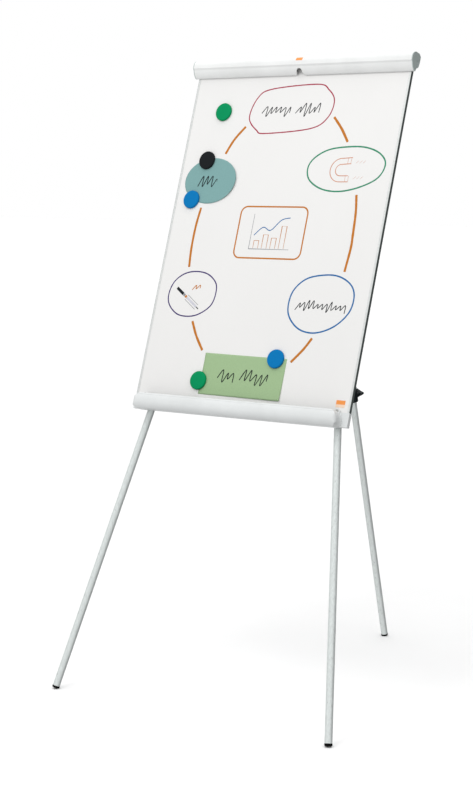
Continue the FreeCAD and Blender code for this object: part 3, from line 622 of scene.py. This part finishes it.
def make_magnets():
    for part in frame["record"]["subparts"]:
        if part["node"].startswith("magnet_"):
            make_magnet(part["node"], part["material_slot"])


make_papers()
make_magnets()
draw_loops()
draw_scribbles()
draw_middle()
draw_horseshoe()
draw_pen()


# --- stage, light and camera ---------------------------------------------------------------

FLOOR_REACH = 40.0
# (bearing in degrees from +x, rise in degrees, where it starts, where it is whole, level inside, level
# outside); a place is the cosine of the angle away from the bearing
SURROUND = ((125, 0, 0.55, 0.85, 1.0, 0.88), (44, -8, 0.52, 0.8, 0.0, 1.0), (187, 0, 0.75, 0.95, 0.5, 1.0))


def make_stage():
    """A plain pale floor, wide on every side. It doesn't light the object from below."""
    mesh = bpy.data.meshes.new("floor")
    reach = FLOOR_REACH
    corners = [(-reach, -reach, 0), (reach, -reach, 0), (reach, reach, 0), (-reach, reach, 0)]
    mesh.from_pydata(corners, [], [(0, 1, 2, 3)])
    floor = bpy.data.objects.new("floor", mesh)
    bpy.context.scene.collection.objects.link(floor)
    graph = Graph("pale_floor")
    white = (1.0, 1.0, 1.0)
    graph.feed("Base Color", graph.colours(graph.noise(2.0), shade(white, 0.92), shade(white, 0.94)))
    graph.set(Roughness=0.9, Specular_IOR_Level=0.1)
    mesh.materials.append(graph.material)
    floor.visible_diffuse = floor.visible_glossy = False


def key_light(place, target, size, power):
    data = bpy.data.lights.new("key", "AREA")
    data.shape = "RECTANGLE"
    data.size = data.size_y = size
    data.energy = power
    lamp = bpy.data.objects.new("key", data)
    lamp.location = place
    lamp.rotation_euler = (Vector(target) - Vector(place)).to_track_quat("-Z", "Y").to_euler()
    bpy.context.scene.collection.objects.link(lamp)


def overhead_light(strength, spread):
    """A very wide lamp straight above, like a big soft box."""
    data = bpy.data.lights.new("overhead", "SUN")
    data.energy = strength
    data.angle = math.radians(spread)
    lamp = bpy.data.objects.new("overhead", data)
    bpy.context.scene.collection.objects.link(lamp)


def make_world():
    """A pale surround that looks white, and lights as white behind, softer in front, with two flats."""
    world = bpy.data.worlds.new("studio")
    world.use_nodes = True
    nodes, links = world.node_tree.nodes, world.node_tree.links
    direction = nodes.new("ShaderNodeTexCoord").outputs["Generated"]
    colour = None
    for bearing, rise, near, far, inside, outside in SURROUND:
        turn, up = math.radians(bearing), math.radians(rise)
        across = nodes.new("ShaderNodeVectorMath")
        across.operation = "DOT_PRODUCT"
        across.inputs[1].default_value = (math.cos(turn) * math.cos(up), math.sin(turn) * math.cos(up),
                                          math.sin(up))
        links.new(direction, across.inputs[0])
        ramp = nodes.new("ShaderNodeValToRGB")
        ramp.color_ramp.interpolation = "EASE"
        for index, (place, level) in enumerate(((near, outside), (far, inside))):
            ramp.color_ramp.elements[index].position = place
            ramp.color_ramp.elements[index].color = (level, level, level, 1)
        links.new(across.outputs["Value"], ramp.inputs["Fac"])
        if colour is None:
            colour = ramp.outputs["Color"]
            continue
        product = nodes.new("ShaderNodeMix")
        product.data_type, product.blend_type = "RGBA", "MULTIPLY"
        product.inputs["Factor"].default_value = 1.0
        links.new(colour, product.inputs["A"])
        links.new(ramp.outputs["Color"], product.inputs["B"])
        colour = product.outputs["Result"]
    seen = nodes.new("ShaderNodeMix")
    seen.data_type = "RGBA"
    seen.inputs["B"].default_value = (1, 1, 1, 1)
    links.new(nodes.new("ShaderNodeLightPath").outputs["Is Camera Ray"], seen.inputs["Factor"])
    links.new(colour, seen.inputs["A"])
    links.new(seen.outputs["Result"], nodes["Background"].inputs["Color"])
    bpy.context.scene.world = world


def make_light():
    make_world()
    overhead_light(strength=1.0, spread=100)
    key_light(place=(-0.1, -1.7, 3.2), target=(0, -0.1, 1.5), size=0.7, power=12.0)


LENS = 81.23
CAMERA_PLACE, CAMERA_DOWN, CAMERA_TURN = (2.7807, -4.1993, 1.4147), 7.11, 35.34


def make_camera():
    """It stands well to the object's right and tilts down a little."""
    data = bpy.data.cameras.new("camera")
    data.sensor_width = 36.0
    data.lens = LENS
    data.clip_end = 100.0
    camera = bpy.data.objects.new("camera", data)
    camera.location = CAMERA_PLACE
    camera.rotation_euler = (math.radians(90 - CAMERA_DOWN), 0, math.radians(CAMERA_TURN))
    bpy.context.scene.collection.objects.link(camera)
    bpy.context.scene.camera = camera


make_stage()
make_light()
make_camera()
bpy.context.scene.view_settings.view_transform = "Standard"
